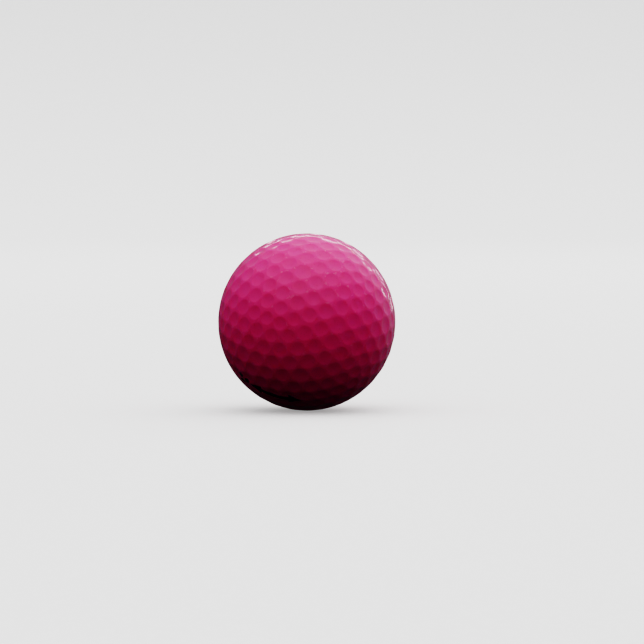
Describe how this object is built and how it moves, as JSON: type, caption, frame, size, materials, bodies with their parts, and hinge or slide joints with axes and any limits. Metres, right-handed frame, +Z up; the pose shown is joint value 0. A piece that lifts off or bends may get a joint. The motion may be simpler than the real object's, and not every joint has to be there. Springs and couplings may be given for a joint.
{
  "type": "golf ball",
  "caption": "Round hot-pink golf ball with a dimpled glossy cover over a mantle and a layered rubber core, marked with a plain alignment arrow and dots.",
  "frame": {"origin": "centre of the ball", "axes": "+Z up as the ball sits on a tee; -Y towards the viewer, so the viewer sees +X on the right"},
  "size_m": [0.0426, 0.0426, 0.0426],
  "materials": {
    "pink_cover": "gloss",
    "mantle_resin": "satin",
    "outer_core_rubber": "matte",
    "inner_core_rubber": "matte",
    "black_ink": "satin"
  },
  "bodies": {
    "root": {"inner_core": "inner_core_rubber", "outer_core": "outer_core_rubber", "mantle": "mantle_resin", "cover": "pink_cover", "alignment_arrow": "black_ink", "marker_dots": "black_ink"}
  },
  "joints": []
}
